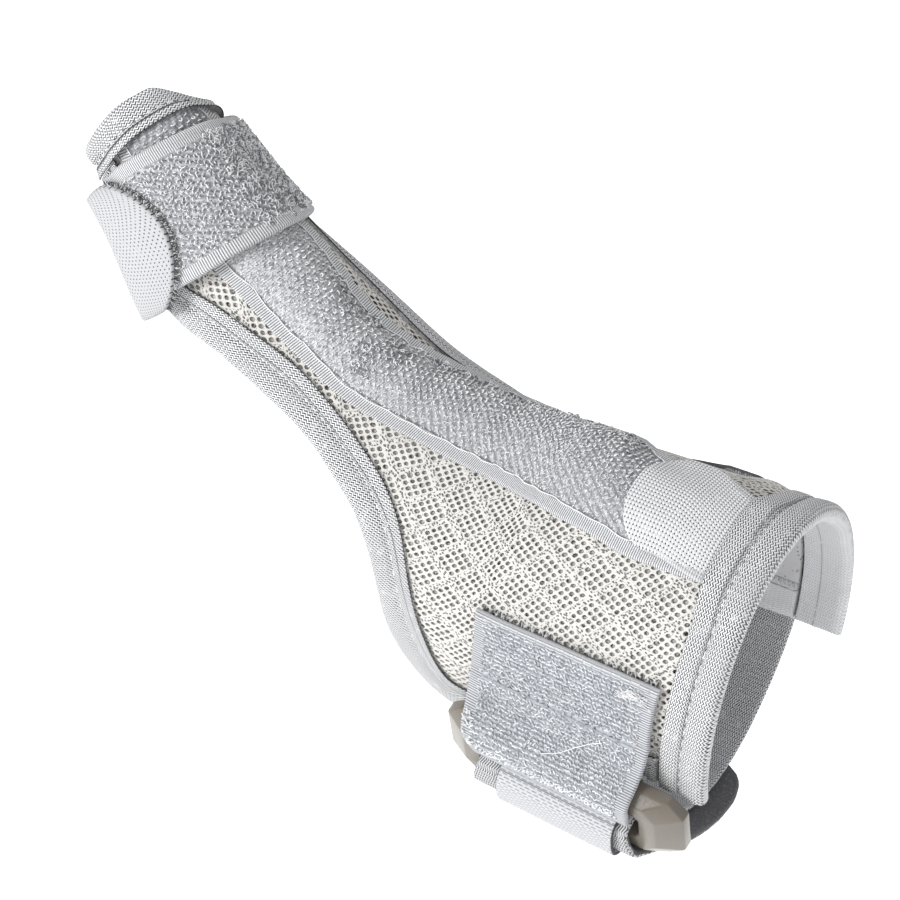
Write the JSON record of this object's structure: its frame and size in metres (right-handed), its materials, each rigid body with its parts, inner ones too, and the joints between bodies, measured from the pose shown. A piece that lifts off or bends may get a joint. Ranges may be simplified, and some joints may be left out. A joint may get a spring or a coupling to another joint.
{
  "type": "thumb splint",
  "caption": "Right-hand thumb splint as worn: open mesh panel with knit-bound edges, padded stay sleeve, thumb strap with hook tab and a wrist strap closed through a plastic ring.",
  "frame": {"origin": "centre of the wrist hollow, at the middle of the wrist strap's width", "axes": "+X along the forearm out of the cuff, +Z towards the thumb side, -Y out of the palm side"},
  "size_m": [0.1504, 0.0706, 0.1182],
  "materials": {
    "mesh": "cream knitted air mesh with small open holes",
    "knit": "grey zigzag knit tape",
    "loop": "grey loop pile with ribbed selvedges",
    "hook": "light-grey woven hook tape",
    "plastic": "taupe-grey moulded plastic, satin"
  },
  "bodies": {
    "root": {"mesh_body": "mesh", "thumb_tip_binding": "knit", "palm_edge_binding": "knit", "back_edge_binding": "knit", "cuff_binding": "knit", "stay_sleeve": "loop", "pocket_flap": "hook", "thumb_strap": "loop", "thumb_strap_tab": "hook", "ring_tab": "loop", "wrist_ring": "plastic", "wrist_strap": "knit", "wrist_strap_end": "hook"}
  },
  "joints": []
}
